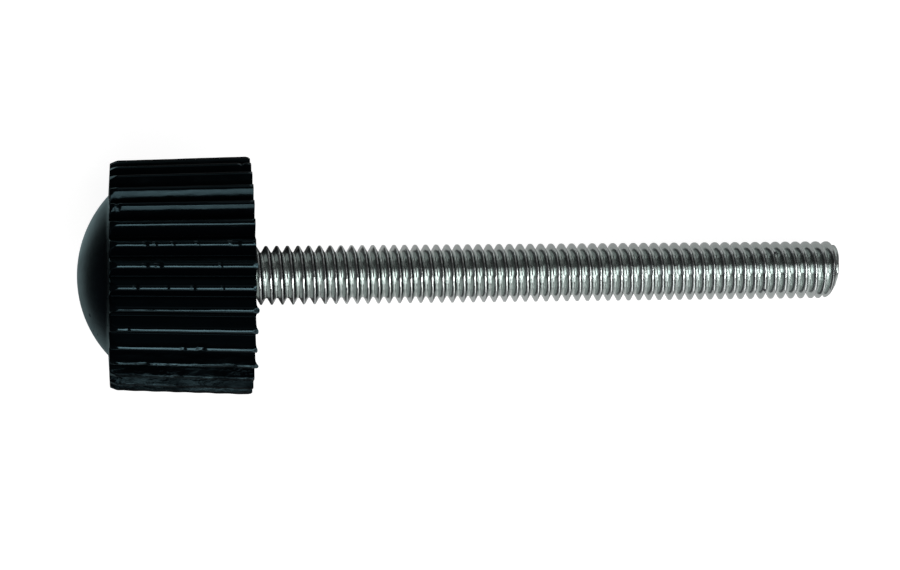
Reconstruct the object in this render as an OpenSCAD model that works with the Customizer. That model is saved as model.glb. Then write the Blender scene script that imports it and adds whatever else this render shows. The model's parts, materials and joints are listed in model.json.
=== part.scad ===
// Thumb screw: a toothed, drafted plastic head with a domed crown, moulded round the
// hexagon of a zinc-plated screw. It lies at rest on the rim of the head and on the
// screw's tip. +X runs towards the tip, +Z is up, and the surface it lies on is z = 0.

/* [Screw] */
// Outer diameter of the thread, an M4 thread at the low end of its tolerance
thread_d = 3.85; // [3:0.05:5]
// Length of screw that stands out of the head
screw_len = 39.5; // [16:0.5:60]
// Chamfer at the tip, along the axis and across it
tip_chamfer = 0.6; // [0.2:0.05:1]
// Diameter of the plain neck between the hexagon and the thread
neck_d = 3.4; // [2.5:0.05:4]
// Depth of plastic between the clamping face and the hexagon
neck_len = 2.6; // [1.5:0.1:4]
// Length of full thread inside the head, before the neck
thread_seat = 0.1; // [0.05:0.05:0.5]
// Hexagon of the screw, across flats
hex_flats = 7; // [6:0.1:8]
// Height of the hexagon
hex_h = 2.8; // [2:0.1:3.5]
// Height over which the hexagon's corners are bevelled
hex_bevel = 0.35; // [0.2:0.05:0.6]

/* [Head] */
// Diameter over the teeth at the clamping face
head_d = 15.5; // [13:0.1:20]
// Length of the toothed grip
grip_len = 9; // [8:0.1:14]
// Draft of the grip, in degrees, narrowing towards the crown
draft = 2.25; // [0.5:0.05:3]
// Length of the bevel at the crown end of each tooth
crest_bevel_len = 0.45; // [0.2:0.05:0.8]
// Depth of that bevel
crest_bevel_depth = 0.2; // [0.1:0.05:0.5]

/* [Teeth] */
// Number of teeth
teeth = 34; // [24:1:38]
// Depth of the grooves between the teeth
tooth_depth = 0.8; // [0.4:0.05:1]
// Width of a tooth's crest at the clamping face
crest_w = 0.3; // [0.1:0.02:0.5]
// Width of a groove's floor
root_w = 0.1; // [0.05:0.01:0.2]

/* [Crown] */
// Diameter of the dome at its base
dome_d = 10.3; // [9:0.1:11]
// Height of the dome
dome_h = 2; // [1:0.05:3]
// Rise of the end face from the teeth to the dome
face_rise = 0.1; // [0.02:0.01:0.3]

/* [Hidden] */
$fn = 96;

// Clearance between the screw and the plastic moulded round it
mould_gap = 0;
// How far a cutter runs past the face that it opens
overrun = 0.5;

thread_r = thread_d / 2;
neck_r = neck_d / 2;
tip_r = thread_r - tip_chamfer;
wall_len = screw_len - tip_chamfer;
hex_corner_r = hex_flats / 2 / cos(30);

head_r = head_d / 2;
function crest_r(u) = head_r + u * tan(draft);
bevel_u = crest_bevel_len - grip_len;
face_r = crest_r(bevel_u) - crest_bevel_depth;

// Half the angle that a groove takes on the crest circle
groove_half = 180 / teeth - asin(crest_w / 2 / head_r);
// A flank's run across the groove for each unit of height
flank_run = (head_r * sin(groove_half) - root_w / 2) / (head_r * cos(groove_half) - head_r + tooth_depth);

dome_base_r = dome_d / 2;
dome_base_u = -grip_len - face_rise;
dome_r = (pow(dome_base_r, 2) + pow(dome_h, 2)) / (2 * dome_h);
dome_centre_u = dome_base_u - dome_h + dome_r;
face_end_u = dome_base_u - overrun * face_rise / (face_r - dome_base_r);

// A groove faces straight down, so the head rests on the two crests beside it
rest_r = head_r * cos(groove_half);
rest_tilt = atan((rest_r - thread_r) / wall_len);

// The dome's point furthest from the tip, seen level: at most out to the dome's edge
dome_lean = min(rest_tilt, asin(dome_base_r / dome_r));
function level_left(u, r) = u * cos(rest_tilt) - r * sin(rest_tilt);
function level_right(u, r) = u * cos(rest_tilt) + r * sin(rest_tilt);
left_x = min(
    level_left(dome_centre_u - dome_r * cos(dome_lean), dome_r * sin(dome_lean)),
    level_left(-grip_len, face_r)
);
right_x = max(level_right(screw_len, tip_r), level_right(wall_len, thread_r));

// Lays the part down: its axis, drawn along Z with the clamping face at 0 and the tip
// up, comes to lie from the head to the tip, and the drawing's +X points down.
module at_rest() {
    translate([-(left_x + right_x) / 2, 0, rest_r * cos(rest_tilt)])
        rotate([0, 90 + rest_tilt, 0])
            children();
}

// The hexagon, its corners bevelled at 30 degrees at the top, grown by gap on every side
module hexagon(gap) {
    corner_r = hex_corner_r + gap / cos(30);
    height = hex_h + 2 * gap;
    translate([0, 0, -neck_len - hex_h - gap])
        intersection() {
            cylinder(h = height, r = corner_r, $fn = 6);
            rotate_extrude()
                polygon([
                    [0, 0], [corner_r - hex_bevel / tan(30), 0], [corner_r, hex_bevel], [corner_r, height], [0, height]
                ]);
        }
}

// The neck, the thread as a straight wall, and the chamfered tip
module shank() {
    rotate_extrude()
        polygon([
            [0, -neck_len], [neck_r, -neck_len], [neck_r, -thread_seat], [thread_r, -thread_seat],
            [thread_r, wall_len], [tip_r, screw_len], [0, screw_len]
        ]);
}

module screw() {
    color("#c3c8c6")
        at_rest() {
            shank();
            hexagon(0);
        }
}

// The grip before its teeth are cut: drafted, bevelled at the crown end, and with an
// end face that rises a little to the dome and runs on under its edge
module grip_blank() {
    rotate_extrude()
        polygon([
            [0, 0], [head_r, 0], [crest_r(bevel_u), bevel_u], [face_r, -grip_len],
            [dome_base_r - overrun, face_end_u], [0, face_end_u]
        ]);
}

// The dome, cut off inside the grip; it leaves the end face at dome_d. The sphere's
// poles are turned to the sides, out of the dome.
module dome() {
    intersection() {
        translate([0, 0, dome_centre_u])
            rotate([90, 0, 0])
                sphere(r = dome_r);
        translate([0, 0, dome_base_u - dome_h - overrun])
            cylinder(h = dome_h + face_rise + 2 * overrun, r = head_r);
    }
}

// One V-shaped groove, facing the drawing's +X, parallel to the drafted crest line
module groove() {
    mouth = root_w / 2 + flank_run * (tooth_depth + overrun);
    length = grip_len / cos(draft) + 2 * overrun;
    translate([head_r, 0, 0])
        rotate([0, draft, 0])
            translate([0, 0, overrun - length])
                linear_extrude(height = length)
                    polygon([
                        [-tooth_depth, -root_w / 2], [overrun, -mouth], [overrun, mouth], [-tooth_depth, root_w / 2]
                    ]);
}

// What the moulding leaves open for the screw
module screw_cavity() {
    hexagon(mould_gap);
    translate([0, 0, -neck_len])
        cylinder(h = neck_len, r = neck_r + mould_gap);
    translate([0, 0, -thread_seat])
        cylinder(h = thread_seat + overrun, r = thread_r + mould_gap);
}

module knurled_head() {
    color("#1d2124")
        at_rest()
            difference() {
                union() {
                    grip_blank();
                    dome();
                }
                for (i = [0 : teeth - 1])
                    rotate([0, 0, i * 360 / teeth])
                        groove();
                screw_cavity();
            }
}

knurled_head();
screw();
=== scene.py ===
# The looks of the thumb screw: its moulded head, its threaded screw, their materials, and the
# floor, lights and camera. Sizes are in millimetres until place() turns them into metres.
import json
import math

import bmesh
import bpy
import numpy as np
from mathutils import Euler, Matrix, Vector


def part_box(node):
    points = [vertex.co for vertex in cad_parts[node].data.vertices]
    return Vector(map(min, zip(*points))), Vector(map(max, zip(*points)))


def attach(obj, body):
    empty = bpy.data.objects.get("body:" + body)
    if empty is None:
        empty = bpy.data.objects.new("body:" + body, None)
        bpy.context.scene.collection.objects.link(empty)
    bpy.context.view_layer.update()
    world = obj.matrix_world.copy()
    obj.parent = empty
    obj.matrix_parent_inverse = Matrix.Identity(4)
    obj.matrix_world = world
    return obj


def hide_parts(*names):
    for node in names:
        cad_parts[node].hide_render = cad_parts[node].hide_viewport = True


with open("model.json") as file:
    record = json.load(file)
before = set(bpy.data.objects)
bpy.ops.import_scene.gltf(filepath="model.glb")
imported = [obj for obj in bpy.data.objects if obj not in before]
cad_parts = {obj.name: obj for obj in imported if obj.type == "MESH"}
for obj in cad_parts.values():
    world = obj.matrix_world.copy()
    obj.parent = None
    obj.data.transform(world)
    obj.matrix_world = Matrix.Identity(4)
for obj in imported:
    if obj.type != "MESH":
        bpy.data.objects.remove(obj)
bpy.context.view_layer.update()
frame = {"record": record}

MM = 0.001
rng = np.random.default_rng(7)

# Edges sharper than this stay hard on the head
SHARP_ANGLE = math.radians(55)
# How many sides the round parts and one turn of the thread have
ROUND_SIDES = 96
THREAD_SIDES = 80

# ---------------------------------------------------------------- what the frame gives
mounts = {m["name"]: m for m in frame["record"]["mounts"]}
THREAD_R = mounts["thread"]["dims"]["r_mm"]
WALL_LEN = mounts["thread"]["dims"]["length_mm"]
AXIS = Vector(mounts["thread"]["axis"]).normalized()
SIDE = Vector((0, 1, 0))
UP = AXIS.cross(SIDE)
FACE_CENTRE = Vector(mounts["thread"]["pos_m"]) - AXIS * WALL_LEN / 2 * MM
HEAD_R = (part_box("knurled_head")[1].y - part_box("knurled_head")[0].y) / 2 / MM

# ---------------------------------------------------------------- the head
TEETH = 34
GRIP_LEN = 9.0
DRAFT = math.tan(math.radians(2.25))
SKEW = math.tan(math.radians(0.6))
TOOTH_DEPTH = 0.8
CREST_W = 0.3
ROOT_W = 0.1
CREST_ROUND = 0.14
ROOT_ROUND = 0.04
TEETH_TURN = math.radians(-0.3)
RIM_BEVEL_LEN = 0.2
RIM_BEVEL_DEPTH = 0.07
CREST_BEVEL_LEN = 0.45
CREST_BEVEL_DEPTH = 0.2
DOME_R = 5.15
DOME_H = 2.0
FACE_RISE = 0.1
HOLE_DEPTH = 0.7
BEVEL_SOFTNESS = 0.05
CROWN_RINGS = 22
# Where the grip's rings lie: close together at the bevels
GRIP_RINGS = -np.concatenate([
    [0.05, 0.1, 0.2],
    np.linspace(0.3, GRIP_LEN - 0.8, 90),
    np.linspace(GRIP_LEN - 0.7, GRIP_LEN - 0.04, 10),
])

# Knocks on the teeth: the tooth, counted from straight up towards -Y, the place along the
# axis, the length and the depth
NICKS = [
    (-2, -6.8, 0.3, 0.05), (-2, -6.2, 0.15, 0.04), (-2, -5.1, 0.2, 0.04), (-2, -3.6, 0.25, 0.03),
    (-2, -1.3, 0.7, 0.07), (-1, -6.8, 0.35, 0.04), (-1, -6.0, 0.4, 0.06), (-1, -2.2, 0.2, 0.03),
    (0, -7.4, 0.3, 0.05), (0, -5.5, 0.15, 0.03), (0, -3.9, 0.25, 0.05), (0, -2.1, 0.15, 0.03),
    (-4, -8.5, 0.3, 0.1), (-7, -0.6, 0.3, 0.08), (3, -3.4, 0.5, 0.06), (3, -4.5, 0.3, 0.04),
    (4, -6.9, 0.6, 0.05), (4, -1.6, 0.7, 0.06), (5, -4.8, 0.6, 0.07), (2, -7.9, 0.2, 0.03),
]
# Flash left on the ends of some teeth at the clamping face: the tooth and how far it stands out
FLASH = {-1: 0.1, 1: 0.17, 2: 0.12, 3: 0.09, 4: 0.2}
# The height on a tooth, from 0 to 1, above which it is worn or carries flash
WORN_FROM = 0.7
FLASH_FROM = 0.8
# Small dark specks on the dome: the angle round the axis in degrees, from straight up towards
# -Y, the distance from the axis, and the speck's radius
DOME_SPECKS = [(45, 3.5, 0.16), (63, 3.9, 0.11), (60, 4.3, 0.1)]
# The crests' waviness: three waves to each tooth
WAVE_RATES = np.array([1.1, 2.3, 4.7])
WAVE_SIZES = rng.normal(0, 0.005, (TEETH, 3))
WAVE_STARTS = rng.uniform(0, 2 * math.pi, (TEETH, 3))

# ---------------------------------------------------------------- the screw
PITCH = 0.7
THREAD_DEPTH = 0.43
CREST_FLAT = 0.1
CREST_SOFTNESS = 0.015
ROOT_SOFTNESS = 0.04
FLANK_SLOPE = math.tan(math.radians(60))
THREAD_PHASE = 0.27
# Inside the head the thread is cut off here, and its grooves fade out before that
THREAD_FROM = -1.6
FADE_FROM = 0.6 * HOLE_DEPTH
FADE_LEN = 0.4
TIP_CHAMFER = 0.6
# The tip was cut off out of square: its last turns lean, from this far before the end
TIP_SKEW = math.tan(math.radians(6.5))
LEAN_FROM = 1.6
LEAN_RUN = 1.2
NECK_R = 1.7
NECK_FROM = -1.8
NECK_LEN = 2.6
HEX_FLATS = 7.0
HEX_H = 2.8
HEX_BEVEL = 0.35
HEX_END_R = HEX_FLATS / 2 - 0.05
# Painted shade: a dark line just under each crest, on the flank that faces the tip. The same dark
# colour also marks the specks
FLANK_SHADE_AND_SPECK_COLOUR = (0.12, 0.12, 0.13)
# Small dark specks on the thread: the place along the axis, the angle round it as on the dome,
# the depth below the crests, and the speck's radius
THREAD_SPECKS = [(35.05, -52, 0.4, 0.16), (34.2, 43, 0, 0.14)]

ROOT_R = THREAD_R - THREAD_DEPTH
TIP_R = THREAD_R - TIP_CHAMFER
SCREW_LEN = WALL_LEN + TIP_CHAMFER
# How near a point has to be to a cut, in mm, to lie on it
CUT_TOLERANCE = 1e-5

# ---------------------------------------------------------------- the lamps and the camera
# Each lamp's name, its lean from overhead towards +X and +Y in degrees, its size in metres and
# its radiance
LAMPS = [
    ("overhead", 36, -3, (0.75, 0.85), 4.2),
    ("overhead_edge", 36, 18, (0.6, 0.85), 1.6),
    ("window", 15.5, -23, (0.6, 0.57), 5.0),
    ("window_by_head", 2, -33, (0.35, 1.25), 4.5),
    ("strip", 17, -60, (0.5, 2.2), 1.6),
    ("fill", 42, -62, (1.2, 2.0), 0.6),
    ("wall", -1, -80, (0.8, 1.2), 0.45),
    ("far_wall", 15, 85, (0.5, 0.7), 0.7),
    ("far_wall_top", 8, 60, (1.0, 1.1), 0.15),
]
LAMP_DISTANCE = 2.0
LENS = 88
CAMERA_PLACE = Vector((13.05, 2.03, 143.2))
CAMERA_TURN = Euler((math.radians(-1.1), 0, math.radians(-0.47)))
# The cards that the finish reflects: each one's name, where it starts and ends along X in
# metres, its level on the +Y side and on the -Y side, and its colour
CARDS = [
    ("card_by_screw", -0.0115, 0.6, 0.45, 0.55, (1, 1, 1)),
    ("card_by_grip", -0.0265, -0.0115, 0.05, 0.06, (1, 1, 1)),
    ("card_by_dome", -0.0385, -0.0265, 0.55, 0.36, (0.72, 1, 1.05)),
]
# They lie this far under the floor, and their level changes over this much on each side of the
# part's middle, in metres
CARD_DROP = 0.0002
CARD_FADE = 0.003


# ---------------------------------------------------------------- mesh tools
def place(points):
    """Turns points given as (along the axis, to the side, up), in mm, into the row frame."""
    turn = np.array([AXIS, SIDE, UP])
    return np.asarray(points, float) @ turn * MM + np.array(FACE_CENTRE)


def ring(along, radius, angle):
    """Points round the axis: angle 0 is straight up, and a positive angle turns towards -Y."""
    along, radius, angle = np.broadcast_arrays(along, radius, angle)
    return np.stack([along, -radius * np.sin(angle), radius * np.cos(angle)], axis=1)


def skewed(points):
    """The head came out of its mould leaning a touch to +Y at the crown end."""
    share = np.clip(-points[:, 0] / GRIP_LEN, 0, 1)
    moved = points.copy()
    moved[:, 1] += share * GRIP_LEN * SKEW
    moved[:, 0] += share * points[:, 1] * SKEW
    return moved


def add_values(mesh, name, values):
    """Stores one number for each point of a mesh, for its material to read."""
    attribute = mesh.attributes.new(name, "FLOAT", "POINT")
    attribute.data.foreach_set("value", values)


def link(name, mesh):
    piece = bpy.data.objects.new(name, mesh)
    bpy.context.scene.collection.objects.link(piece)
    return piece


class Shell:
    """A closed mesh built from rings of points, each stitched to the one before."""

    def __init__(self):
        self.points = []
        self.heights = []
        self.faces = []
        self.count = 0

    def add(self, points, height=0.5):
        """Adds a ring of points; height is 1 on a crest and 0 in a groove."""
        first = self.count
        self.points.append(np.asarray(points, float))
        self.heights.append(np.broadcast_to(height, len(points)))
        self.count += len(points)
        return np.arange(first, self.count)

    def strip(self, a, b):
        """Joins two rings of the same length with quads."""
        n = len(a)
        for i in range(n):
            j = (i + 1) % n
            self.faces.append((a[i], a[j], b[j], b[i]))

    def stitch(self, a, b):
        """Joins a ring to a coarser one, point by point round the ring."""
        n = len(a)
        near = [int(round(i * len(b) / n)) % len(b) for i in range(n)]
        for i in range(n):
            j = (i + 1) % n
            self.faces.append((a[i], a[j], b[near[i]]))
            if near[i] != near[j]:
                self.faces.append((a[j], b[near[j]], b[near[i]]))

    def cap(self, a, point):
        """Closes a ring with a fan to one point."""
        centre = self.add([point])[0]
        n = len(a)
        for i in range(n):
            self.faces.append((a[i], a[(i + 1) % n], centre))

    def make(self, name):
        """Makes the object, in the row frame."""
        mesh = bpy.data.meshes.new(name)
        mesh.from_pydata(place(skewed(np.concatenate(self.points))).tolist(), [], self.faces)
        add_values(mesh, "height", np.concatenate(self.heights))
        work = bmesh.new()
        work.from_mesh(mesh)
        bmesh.ops.recalc_face_normals(work, faces=work.faces)
        work.to_mesh(mesh)
        work.free()
        mesh.shade_smooth()
        mesh.set_sharp_from_angle(angle=SHARP_ANGLE)
        return link(name, mesh)


def smooth_min(a, b, k):
    """The lower of a and b, with the corner between them rounded over about k."""
    h = np.clip(0.5 + 0.5 * (b - a) / k, 0, 1)
    return b * (1 - h) + a * h - k * h * (1 - h)


def corner(before, at, after, reach, steps):
    """A rounded corner: points on a curve that leaves the two sides at reach from the corner."""
    back = before - at
    ahead = after - at
    start = at + back * min(1, reach / np.hypot(*back))
    end = at + ahead * min(1, reach / np.hypot(*ahead))
    t = np.linspace(0, 1, steps)[:, None]
    return start * (1 - t) ** 2 + at * 2 * t * (1 - t) + end * t**2


# ---------------------------------------------------------------- the head's shape
def crest_line(along):
    """Radius of the teeth's crests; along is 0 at the clamping face and negative towards the crown."""
    return HEAD_R + along * DRAFT


def bevel_line(along):
    """Radius of the bevel that cuts the crests back at the crown end."""
    start = CREST_BEVEL_LEN - GRIP_LEN
    return crest_line(start) - (start - along) * CREST_BEVEL_DEPTH / CREST_BEVEL_LEN


FACE_R = bevel_line(-GRIP_LEN)


def end_face(radius):
    """Where the crown-side end face lies at a radius: it rises from the teeth to the dome."""
    return -GRIP_LEN - FACE_RISE * (FACE_R - radius) / (FACE_R - DOME_R)


# The dome is part of a sphere: its radius, and where its centre lies along the axis
SPHERE_R = (DOME_R**2 + DOME_H**2) / (2 * DOME_H)
SPHERE_CENTRE = end_face(DOME_R) - DOME_H + SPHERE_R


def groove_section(radius):
    """Half a groove and half a crest, as angles and radii from the groove's middle to the
    crest's middle, with rounded corners. A groove keeps its size along the drafted crest line."""
    half_pitch = math.pi / TEETH
    mouth = HEAD_R * math.sin(half_pitch - math.asin(CREST_W / 2 / HEAD_R))
    run = (mouth - ROOT_W / 2) / (TOOTH_DEPTH - HEAD_R + math.sqrt(HEAD_R**2 - mouth**2))
    edge = half_pitch - CREST_W / 2 / radius
    for _ in range(6):
        edge = math.asin((ROOT_W / 2 + run * (TOOTH_DEPTH - radius * (1 - math.cos(edge)))) / radius)
    middle = np.array([0, radius - TOOTH_DEPTH])
    root = np.array([ROOT_W / 2, radius - TOOTH_DEPTH])
    crest = np.array([radius * math.sin(edge), radius * math.cos(edge)])
    top = np.array([radius * math.sin(half_pitch), radius * math.cos(half_pitch)])
    low = corner(middle, root, crest, ROOT_ROUND, 3)
    high = corner(root, crest, top, CREST_ROUND, 5)
    flank = [low[-1] + (high[0] - low[-1]) * t for t in (0.33, 0.67)]
    outline = np.array([middle, *low, *flank, *high, top])
    return np.arctan2(outline[:, 0], outline[:, 1]), np.hypot(outline[:, 0], outline[:, 1])


def toothed_ring(radius):
    """Angles and radii of one turn of grooves and crests, beginning in the groove at the top."""
    angle, r = groove_section(radius)
    pitch = 2 * math.pi / TEETH
    one_angle = np.concatenate([angle, pitch - angle[-2:0:-1]])
    one_r = np.concatenate([r, r[-2:0:-1]])
    angles = np.concatenate([one_angle + k * pitch for k in range(TEETH)])
    return angles + TEETH_TURN, np.tile(one_r, TEETH)


def rim_line(along):
    """Radius of the small bevel at the clamping face; further in, it is clear of the teeth."""
    if along < -RIM_BEVEL_LEN:
        return HEAD_R + 1.0
    return HEAD_R - RIM_BEVEL_DEPTH * (1 + along / RIM_BEVEL_LEN)


def worn(r, along):
    """One turn of radii with the crests' waviness and knocks, and each point's share of the
    tooth's height."""
    height = np.clip(1 - (crest_line(along) - r) / TOOTH_DEPTH, 0, 1)
    crest = np.clip((height - WORN_FROM) / (1 - WORN_FROM), 0, 1).reshape(TEETH, -1)
    wave = (WAVE_SIZES * np.sin(WAVE_RATES * along + WAVE_STARTS)).sum(axis=1)
    teeth = r.reshape(TEETH, -1) + crest * wave[:, None]
    for tooth, place_along, length, depth in NICKS:
        share = math.exp(-(((along - place_along) * 2 / length) ** 4))
        teeth[tooth % TEETH] -= depth * share * crest[tooth % TEETH]
    return teeth.reshape(-1), height


def flashed(points, height):
    """The clamping face's edge with the flash that stands out from some teeth's ends."""
    moved = points.reshape(TEETH, -1, 3).copy()
    crest = np.clip((height - FLASH_FROM) / (1 - FLASH_FROM), 0, 1).reshape(TEETH, -1)
    for tooth, out in FLASH.items():
        moved[tooth % TEETH, :, 0] += out * crest[tooth % TEETH]
    return moved.reshape(-1, 3)


def build_head():
    """The moulding: its grip from the clamping face to the crown, the crown, and the face."""
    shell = Shell()
    angles, outline = toothed_ring(HEAD_R)
    height = worn(outline, 0)[1]
    edge = ring(0, np.minimum(outline, rim_line(0)), angles)
    face = shell.add(flashed(edge, height), height)
    last = face
    for along in GRIP_RINGS:
        angles, r = toothed_ring(crest_line(along))
        r, height = worn(r, along)
        r = smooth_min(np.minimum(r, rim_line(along)), bevel_line(along), BEVEL_SOFTNESS)
        now = shell.add(ring(along, r, angles), height)
        shell.strip(last, now)
        last = now
    for share in (0.015, 0.1, 0.35, 0.7, 1.0):
        inward = r + (DOME_R - r) * share
        now = shell.add(ring(end_face(inward), inward, angles))
        shell.strip(last, now)
        last = now
    grip_faces = len(shell.faces)
    build_crown(shell, last)
    crown_faces = len(shell.faces)
    build_face(shell, face, outline)
    head = shell.make("head_moulding")
    for polygon in head.data.polygons[grip_faces:crown_faces]:
        polygon.material_index = 1
    return head


def build_crown(shell, edge):
    """The dome, from its edge to its top."""
    rim_angle = math.asin(DOME_R / SPHERE_R)
    sides = TEETH * 4
    turn = np.arange(sides) * 2 * math.pi / sides
    last = edge
    for i in range(1, CROWN_RINGS):
        lean = rim_angle * (1 - i / CROWN_RINGS)
        along = SPHERE_CENTRE - SPHERE_R * math.cos(lean)
        points = ring(along, SPHERE_R * math.sin(lean), turn)
        now = shell.add(points)
        if i == 1:
            shell.stitch(last, now)
        else:
            shell.strip(last, now)
        last = now
    shell.cap(last, (SPHERE_CENTRE - SPHERE_R, 0, 0))


def hex_radius(turn, flats):
    """Radius of a hexagon at each angle, with the middle of a flat straight up."""
    side = math.pi / 3
    return flats / 2 / np.cos((turn + side / 2) % side - side / 2)


def hexagon_steps(turn):
    """The hexagon's rings, from its end by the neck to its far end, as (along, radius) pairs."""
    hexagon = hex_radius(turn, HEX_FLATS)
    far_end = -NECK_LEN - HEX_H
    return [
        (-NECK_LEN, hexagon),
        (far_end + HEX_BEVEL, hexagon),
        (far_end, np.minimum(hexagon, HEX_END_R)),
    ]


def build_face(shell, edge, outline):
    """The clamping face, the hole that the screw comes out of, and the hexagon's pocket."""
    last = edge
    angles = toothed_ring(HEAD_R)[0]
    for share in (0.06, 0.3, 0.65):
        now = shell.add(ring(0, outline + (ROOT_R - outline) * share, angles))
        shell.strip(last, now)
        last = now
    turn = np.arange(ROUND_SIDES) * 2 * math.pi / ROUND_SIDES
    steps = [
        (0, ROOT_R), (-HOLE_DEPTH, ROOT_R), (-HOLE_DEPTH, NECK_R), (-NECK_LEN, NECK_R),
        *hexagon_steps(turn),
    ]
    for i, (along, r) in enumerate(steps):
        now = shell.add(ring(along, r, turn))
        if i == 0:
            shell.stitch(last, now)
        else:
            shell.strip(last, now)
        last = now
    shell.cap(last, (-NECK_LEN - HEX_H, 0, 0))


# ---------------------------------------------------------------- the screw's shape
def thread_section():
    """One pitch of the thread: each place's share of the pitch, its depth below the crest and
    whether the painted shade, a dark line just under the crest on one flank, covers it."""
    half = PITCH / 2
    run = THREAD_DEPTH / FLANK_SLOPE
    points = [np.array(p) for p in (
        (0, THREAD_DEPTH), (half - CREST_FLAT / 2 - run, THREAD_DEPTH),
        (half - CREST_FLAT / 2, 0), (half, 0),
    )]
    low = corner(points[0], points[1], points[2], ROOT_SOFTNESS, 3)
    high = corner(points[1], points[2], points[3], CREST_SOFTNESS, 4)
    flank = [low[-1] + (high[0] - low[-1]) * t for t in (0.4, 0.5)]
    rise = np.array([points[0], *low[1:], *flank, *high])
    fall = rise[:0:-1].copy()
    fall[:, 0] = PITCH - fall[:, 0]
    whole = np.concatenate([rise, fall])
    # Painted shade: 1 on the points just past each crest on the falling flank
    filmed = np.concatenate([np.zeros(len(rise) + 1), np.ones(len(high)), np.zeros(3)])
    return whole[:, 0] / PITCH, whole[:, 1], filmed


def tip_line(along):
    """Radius that the tip's rounded chamfer leaves."""
    into = np.clip((along - WALL_LEN) / TIP_CHAMFER, 0, 1)
    return THREAD_R - TIP_CHAMFER * (1 - np.sqrt(1 - into**2)) + np.where(along < WALL_LEN, 1.0, 0.0)


def thread_grid(share, depth):
    """The thread as rows of points, one row to each step round the axis, and its faces. It
    starts inside the head and runs on past the tip; both ends are cut off later."""
    start = -3 * PITCH
    turns = int((SCREW_LEN - start) / PITCH) + 3
    around = THREAD_SIDES
    rows = turns * around
    step = np.arange(rows)
    angle = step * 2 * math.pi / around
    along = start + PITCH * (step[:, None] / around + share[None, :] + THREAD_PHASE)
    buried = np.clip((-FADE_FROM - along) / FADE_LEN, 0, 1)
    r = (THREAD_R - depth)[None, :] * (1 - buried) + NECK_R * buried
    r = np.minimum(r, tip_line(along))
    points = np.stack([along, -r * np.sin(angle)[:, None], r * np.cos(angle)[:, None]], axis=2)
    across = len(share)
    index = np.arange(rows * across).reshape(rows, across)
    faces = []
    for i in range(rows - 1):
        for k in range(across):
            here, after = index[i, k], index[i + 1, k]
            if k + 1 < across:
                faces.append((here, index[i, k + 1], index[i + 1, k + 1], after))
            elif i + around + 1 < rows:
                faces.append((here, index[i + around, 0], index[i + around + 1, 0], after))
    return points, faces


def build_screw():
    """The screw, with its thread, its plain neck and the hexagon inside the head."""
    share, depth, filmed = thread_section()
    points, faces = thread_grid(share, depth)
    mesh = bpy.data.meshes.new("threaded_screw")
    mesh.from_pydata(points.reshape(-1, 3).tolist(), [], faces)
    add_values(mesh, "height", np.tile(1 - depth / THREAD_DEPTH, len(points)))
    # Where the painted shade under each crest lies, for the material to darken
    add_values(mesh, "filmed", np.tile(filmed, len(points)))
    work = bmesh.new()
    work.from_mesh(mesh)
    back = cut_at(work, THREAD_FROM, -1)
    tip = cut_at(work, SCREW_LEN - 0.0005, 1)
    close_tip(work, tip)
    close_back(work, back)
    bmesh.ops.recalc_face_normals(work, faces=work.faces)
    placed = place(askew(np.array([v.co for v in work.verts])))
    for v, p in zip(work.verts, placed):
        v.co = p
    work.to_mesh(mesh)
    work.free()
    mesh.shade_smooth()
    return link("threaded_screw", mesh)


def askew(points):
    """Leans the last turns towards the head, least of all at +Y."""
    share = np.clip((points[:, 0] - SCREW_LEN + LEAN_FROM) / LEAN_RUN, 0, 1)
    moved = points.copy()
    moved[:, 0] -= share * (TIP_R - points[:, 1]) * TIP_SKEW
    return moved


def cut_at(work, along, side):
    """Cuts the thread square at a place along its axis and returns the cut's edge, as vertices
    in order round the axis."""
    bmesh.ops.bisect_plane(
        work, geom=[*work.verts, *work.edges, *work.faces], dist=CUT_TOLERANCE / 100,
        plane_co=(along, 0, 0), plane_no=(side, 0, 0), clear_outer=True,
    )
    ends = {v for e in work.edges if e.is_boundary for v in e.verts}
    return sorted((v for v in ends if abs(v.co.x - along) < CUT_TOLERANCE), key=turn_of)


def turn_of(v):
    """A vertex's angle round the axis, from 0 straight up."""
    return math.atan2(-v.co.y, v.co.z) % (2 * math.pi)


def join_rings(work, a, b):
    """Joins two rings of vertices, both in order round the axis, with triangles."""
    i = j = 0
    while i < len(a) or j < len(b):
        next_a = turn_of(a[i + 1]) if i + 1 < len(a) else turn_of(a[0]) + 2 * math.pi
        next_b = turn_of(b[j + 1]) if j + 1 < len(b) else turn_of(b[0]) + 2 * math.pi
        if j >= len(b) or (i < len(a) and next_a <= next_b):
            work.faces.new((a[i], a[(i + 1) % len(a)], b[j % len(b)]))
            i += 1
        else:
            work.faces.new((a[i % len(a)], b[(j + 1) % len(b)], b[j]))
            j += 1


def new_ring(work, along, radius):
    turn = np.arange(ROUND_SIDES) * 2 * math.pi / ROUND_SIDES
    return [work.verts.new(p) for p in ring(along, radius, turn)]


def quad_rings(work, a, b):
    """Joins two rings of as many vertices with quads."""
    n = len(a)
    for i in range(n):
        work.faces.new((a[i], a[(i + 1) % n], b[(i + 1) % n], b[i]))


def fan(work, a, along):
    """Closes a ring with a fan to one point on the axis."""
    centre = work.verts.new((along, 0, 0))
    for i in range(len(a)):
        work.faces.new((a[i], a[(i + 1) % len(a)], centre))


def close_tip(work, edge):
    """The flat end of the tip."""
    last = edge
    for r in (TIP_R - 0.06, TIP_R * 0.7, TIP_R * 0.3):
        now = new_ring(work, SCREW_LEN, r)
        if last is edge:
            join_rings(work, last, now)
        else:
            quad_rings(work, last, now)
        last = now
    fan(work, last, SCREW_LEN)


def close_back(work, edge):
    """The plain neck and the hexagon that the head is moulded round."""
    turn = np.arange(ROUND_SIDES) * 2 * math.pi / ROUND_SIDES
    last = edge
    for along, r in [(NECK_FROM, NECK_R), (-NECK_LEN, NECK_R), *hexagon_steps(turn)]:
        now = new_ring(work, along, r)
        if last is edge:
            join_rings(work, last, now)
        else:
            quad_rings(work, last, now)
        last = now
    fan(work, last, -NECK_LEN - HEX_H)


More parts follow.
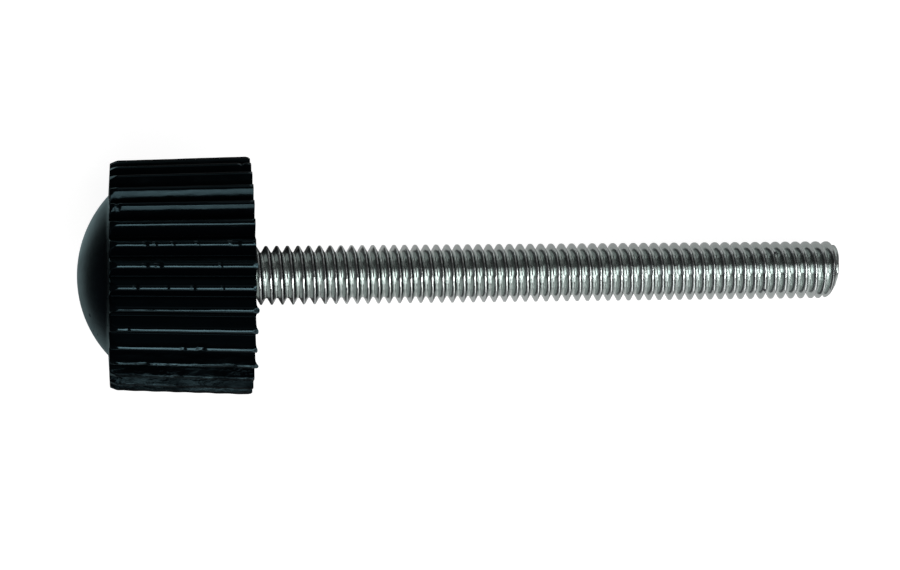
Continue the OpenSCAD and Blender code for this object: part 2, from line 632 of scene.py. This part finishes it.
# ---------------------------------------------------------------- materials
def new_material(name):
    material = bpy.data.materials.new(name)
    material.use_nodes = True
    tree = material.node_tree
    shader = tree.nodes["Principled BSDF"]
    return material, tree, shader


def noise(tree, place_node, scale, detail=4.0, stretch=(1, 1, 1)):
    """Noise on the object's own coordinates, in metres."""
    mapping = tree.nodes.new("ShaderNodeMapping")
    mapping.inputs["Scale"].default_value = stretch
    tree.links.new(place_node.outputs["Object"], mapping.inputs["Vector"])
    node = tree.nodes.new("ShaderNodeTexNoise")
    node.inputs["Scale"].default_value = scale
    node.inputs["Detail"].default_value = detail
    tree.links.new(mapping.outputs["Vector"], node.inputs["Vector"])
    return node.outputs["Fac"]


def spread(tree, value, low, high, out_low, out_high):
    """Maps low..high to out_low..out_high, held at both ends."""
    node = tree.nodes.new("ShaderNodeMapRange")
    node.inputs["From Min"].default_value = low
    node.inputs["From Max"].default_value = high
    node.inputs["To Min"].default_value = out_low
    node.inputs["To Max"].default_value = out_high
    tree.links.new(value, node.inputs["Value"])
    return node.outputs["Result"]


def bump(tree, shader, height, distance):
    node = tree.nodes.new("ShaderNodeBump")
    node.inputs["Strength"].default_value = 1
    node.inputs["Distance"].default_value = distance
    tree.links.new(height, node.inputs["Height"])
    tree.links.new(node.outputs["Normal"], shader.inputs["Normal"])


def math_of(tree, operation, a, b):
    node = tree.nodes.new("ShaderNodeMath")
    node.operation = operation
    tree.links.new(a, node.inputs[0])
    tree.links.new(b, node.inputs[1])
    return node.outputs["Value"]


def axis_of(tree, place_node, axis):
    node = tree.nodes.new("ShaderNodeSeparateXYZ")
    tree.links.new(place_node.outputs["Object"], node.inputs["Vector"])
    return node.outputs[axis]


def value_of(tree, name):
    """Reads the numbers that add_values() stored."""
    node = tree.nodes.new("ShaderNodeAttribute")
    node.attribute_name = name
    return node.outputs["Fac"]


def dome_specks():
    """Each speck on the dome: its place in the row frame, in metres, and its radius."""
    specks = []
    for turn, out, radius in DOME_SPECKS:
        along = SPHERE_CENTRE - math.sqrt(SPHERE_R**2 - out**2)
        spot = place(skewed(ring(along, [out], math.radians(turn))))[0]
        specks.append((spot, radius))
    return specks


def thread_specks():
    """Each speck on the thread: its place in the row frame, in metres, and its radius."""
    specks = []
    for along, turn, depth, radius in THREAD_SPECKS:
        spot = place(ring(along, [THREAD_R - depth], math.radians(turn)))[0]
        specks.append((spot, radius))
    return specks


def clear_of_specks(tree, place_node, specks):
    """0 inside the specks and 1 elsewhere."""
    clear = None
    for spot, radius in specks:
        far = tree.nodes.new("ShaderNodeVectorMath")
        far.operation = "DISTANCE"
        far.inputs[1].default_value = spot
        tree.links.new(place_node.outputs["Object"], far.inputs[0])
        edge = spread(tree, far.outputs["Value"], radius * 0.6 * MM, radius * MM, 0, 1)
        clear = edge if clear is None else math_of(tree, "MULTIPLY", clear, edge)
    return clear


def ramp(tree, value, stops):
    """A curve from 0 to 1 through (place, level or colour) stops."""
    node = tree.nodes.new("ShaderNodeValToRGB")
    elements = node.color_ramp.elements
    while len(elements) < len(stops):
        elements.new(0.5)
    for element, (place_at, level) in zip(elements, stops):
        element.position = place_at
        element.color = (*np.broadcast_to(level, 3), 1)
    tree.links.new(value, node.inputs["Fac"])
    return node.outputs["Color"]


def grip_plastic():
    """Black plastic, dull down in the grooves and rubbed bright on the teeth's crests. On the
    -Y side it is scuffed, with patches that have lost their shine."""
    material, tree, shader = new_material("black_plastic")
    where = tree.nodes.new("ShaderNodeTexCoord")
    scuffed = spread(tree, axis_of(tree, where, "Y"), -0.0045, -0.006, 0, 1)
    shader.inputs["Base Color"].default_value = (0.0008, 0.0013, 0.002, 1)
    shader.inputs["Specular Tint"].default_value = (0.5, 0.87, 1.0, 1)

    by_height = ((0, 0.03), (0.25, 0.18), (0.88, 0.18), (0.97, 0.52))
    shine = ramp(tree, value_of(tree, "height"), by_height)
    patches = spread(tree, noise(tree, where, 900, 5, (0.5, 1, 1)), 0.4, 0.6, 0.8, 0.1)
    kept = spread(tree, math_of(tree, "MULTIPLY", scuffed, patches), 0, 1, 1, 0)
    level = math_of(tree, "MULTIPLY", shine, kept)
    tree.links.new(level, shader.inputs["Specular IOR Level"])

    streaks = spread(tree, noise(tree, where, 700, 5, (0.4, 1, 1)), 0.42, 0.6, -0.06, 0.22)
    added = math_of(tree, "MULTIPLY", scuffed, streaks)
    plain = spread(tree, noise(tree, where, 900), 0.3, 0.7, 0.1, 0.2)
    tree.links.new(math_of(tree, "ADD", added, plain), shader.inputs["Roughness"])

    scratches = noise(tree, where, 1100, 5, (0.4, 1, 1))
    depth = math_of(tree, "MULTIPLY", scratches, spread(tree, scuffed, 0, 1, 0.06, 1))
    bump(tree, shader, depth, 0.0003)
    return material


def crown_plastic():
    """The same plastic with the mould's fine grain, and its specks."""
    material, tree, shader = new_material("black_plastic_crown")
    where = tree.nodes.new("ShaderNodeTexCoord")
    shader.inputs["Base Color"].default_value = (0.001, 0.003, 0.007, 1)
    shine = spread(tree, clear_of_specks(tree, where, dome_specks()), 0, 1, 0.02, 0.4)
    tree.links.new(shine, shader.inputs["Specular IOR Level"])
    shader.inputs["Specular Tint"].default_value = (0.7, 0.97, 1.0, 1)
    rough = spread(tree, noise(tree, where, 600), 0.3, 0.7, 0.3, 0.4)
    tree.links.new(rough, shader.inputs["Roughness"])
    bump(tree, shader, noise(tree, where, 9000, 3), 0.00001)
    return material


def zinc():
    """Bright plate over the rolled thread, greyer low on its flanks, with painted shade as a dark
    line just under each crest on one flank, and dark specks."""
    material, tree, shader = new_material("zinc_steel")
    where = tree.nodes.new("ShaderNodeTexCoord")
    by_height = ((0, (0.66, 0.72, 0.7)), (0.25, (0.5, 0.56, 0.54)), (1, (0.6, 0.64, 0.63)))
    colour = ramp(tree, value_of(tree, "height"), by_height)
    specks = spread(tree, clear_of_specks(tree, where, thread_specks()), 0, 1, 1, 0)
    # Darkens the base colour with painted shade under each crest, and in the specks
    dark = math_of(tree, "MAXIMUM", value_of(tree, "filmed"), specks)
    shade_and_specks = ramp(tree, dark, ((0, 1), (0.5, FLANK_SHADE_AND_SPECK_COLOUR), (1, FLANK_SHADE_AND_SPECK_COLOUR)))
    darkened = tree.nodes.new("ShaderNodeMix")
    darkened.data_type = "RGBA"
    darkened.blend_type = "MULTIPLY"
    darkened.inputs["Factor"].default_value = 1
    tree.links.new(colour, darkened.inputs["A"])
    tree.links.new(shade_and_specks, darkened.inputs["B"])
    tree.links.new(darkened.outputs["Result"], shader.inputs["Base Color"])
    shader.inputs["Metallic"].default_value = 0.9
    rough = spread(tree, noise(tree, where, 1500), 0.3, 0.7, 0.1, 0.2)
    tree.links.new(rough, shader.inputs["Roughness"])
    bump(tree, shader, noise(tree, where, 1200, 5), 0.00003)
    return material


# ---------------------------------------------------------------- the stage
def stage_plane(name, size, height):
    """A level square that belongs to the stage."""
    bpy.ops.mesh.primitive_plane_add(size=size, location=(0, 0, height))
    plane = bpy.context.object
    plane.name = name
    return plane


def make_floor():
    """A white floor for the eye, which the part's finish doesn't reflect."""
    floor = stage_plane("floor", 6, 0)
    material, _, shader = new_material("floor_white")
    shader.inputs["Base Color"].default_value = (0.35, 0.35, 0.35, 1)
    shader.inputs["Roughness"].default_value = 1
    shader.inputs["Specular IOR Level"].default_value = 0
    shader.inputs["Emission Color"].default_value = (1, 1, 1, 1)
    shader.inputs["Emission Strength"].default_value = 0.92
    floor.data.materials.append(material)
    floor.visible_glossy = False
    floor.visible_diffuse = False


def reflected_card(name, x_from, x_to, far_level, near_level, colour):
    """A card just under the floor, between two places along X, that shows only in the part's
    finish: its level goes from one on the +Y side to another on the -Y side."""
    card = stage_plane(name, 1, -CARD_DROP)
    card.scale.x = x_to - x_from
    card.location.x = (x_from + x_to) / 2
    material, tree, shader = new_material(name)
    shader.inputs["Base Color"].default_value = (0, 0, 0, 1)
    shader.inputs["Specular IOR Level"].default_value = 0
    shader.inputs["Emission Color"].default_value = (*colour, 1)
    where = tree.nodes.new("ShaderNodeTexCoord")
    level = spread(tree, axis_of(tree, where, "Y"), CARD_FADE, -CARD_FADE, far_level, near_level)
    tree.links.new(level, shader.inputs["Emission Strength"])
    card.data.materials.append(material)
    card.visible_camera = False


def make_surroundings():
    """A dark room."""
    world = bpy.data.worlds.new("studio")
    bpy.context.scene.world = world
    world.use_nodes = True
    background = world.node_tree.nodes["Background"]
    background.inputs["Color"].default_value = (1, 1, 1, 1)
    background.inputs["Strength"].default_value = 0.02


def area_light(name, lean_x, lean_y, size, radiance):
    """A rectangular lamp that faces the part, given by how far it leans from overhead."""
    data = bpy.data.lights.new(name, "AREA")
    data.shape = "RECTANGLE"
    data.size, data.size_y = size
    data.energy = radiance * math.pi * size[0] * size[1]
    lamp = bpy.data.objects.new(name, data)
    x, y = math.radians(lean_x), math.radians(lean_y)
    aim = Vector((math.sin(x), math.cos(x) * math.sin(y), math.cos(x) * math.cos(y)))
    lamp.location = aim * LAMP_DISTANCE
    lamp.rotation_euler = aim.to_track_quat("Z", "Y").to_euler()
    bpy.context.scene.collection.objects.link(lamp)


def make_camera():
    """Looks down on the part, turned so that the screw rises a little to the right."""
    data = bpy.data.cameras.new("camera")
    data.sensor_width = 36
    data.lens = LENS
    camera = bpy.data.objects.new("camera", data)
    camera.location = FACE_CENTRE + CAMERA_PLACE * MM
    camera.rotation_euler = CAMERA_TURN
    bpy.context.scene.collection.objects.link(camera)
    bpy.context.scene.camera = camera


# ---------------------------------------------------------------- the scene
head = build_head()
head.data.materials.append(grip_plastic())
head.data.materials.append(crown_plastic())
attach(head, "root")
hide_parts("knurled_head")

screw = build_screw()
screw.data.materials.append(zinc())
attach(screw, "root")
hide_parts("screw")

make_floor()
for card in CARDS:
    reflected_card(*card)
make_surroundings()
for lamp in LAMPS:
    area_light(*lamp)
make_camera()
bpy.context.scene.view_settings.view_transform = "Standard"
